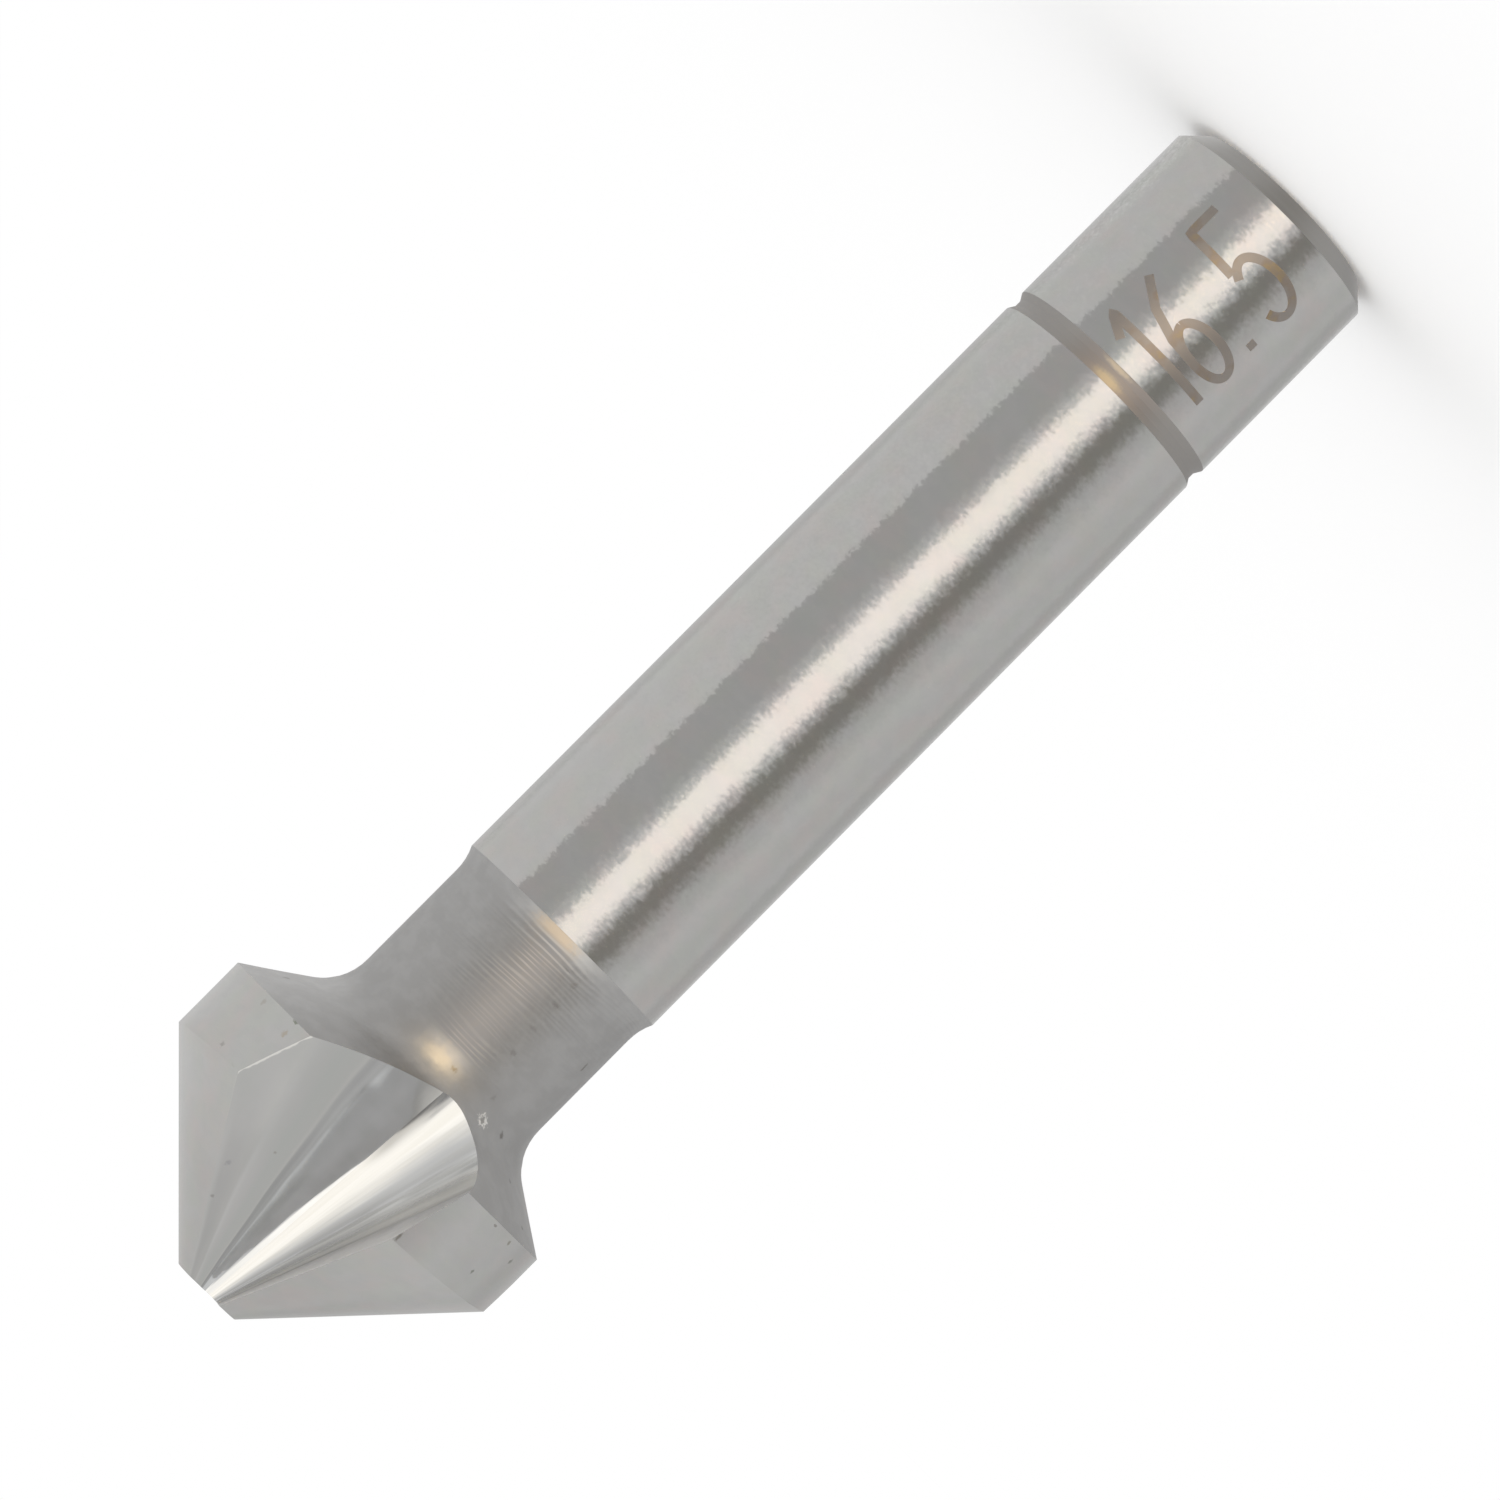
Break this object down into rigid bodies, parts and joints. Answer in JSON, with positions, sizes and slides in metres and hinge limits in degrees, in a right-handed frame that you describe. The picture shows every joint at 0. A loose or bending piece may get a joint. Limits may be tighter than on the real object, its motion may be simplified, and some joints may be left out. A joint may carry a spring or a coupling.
{
  "type": "countersink bit",
  "caption": "Conical cutting bit with ground flutes and a plain round shank, for sinking and deburring drilled holes.",
  "frame": {"origin": "centre of the flat end face of the shank", "axes": "+Z runs along the tool from the shank's end towards the tip. The first cutting edge lies 115.5 degrees clockwise from +X, seen from the tip"},
  "size_m": [0.0164, 0.0156, 0.06],
  "materials": {
    "ground_steel": "ground bare high-speed steel, finely turned on the neck"
  },
  "bodies": {
    "root": {"countersink": "ground_steel"}
  },
  "joints": []
}
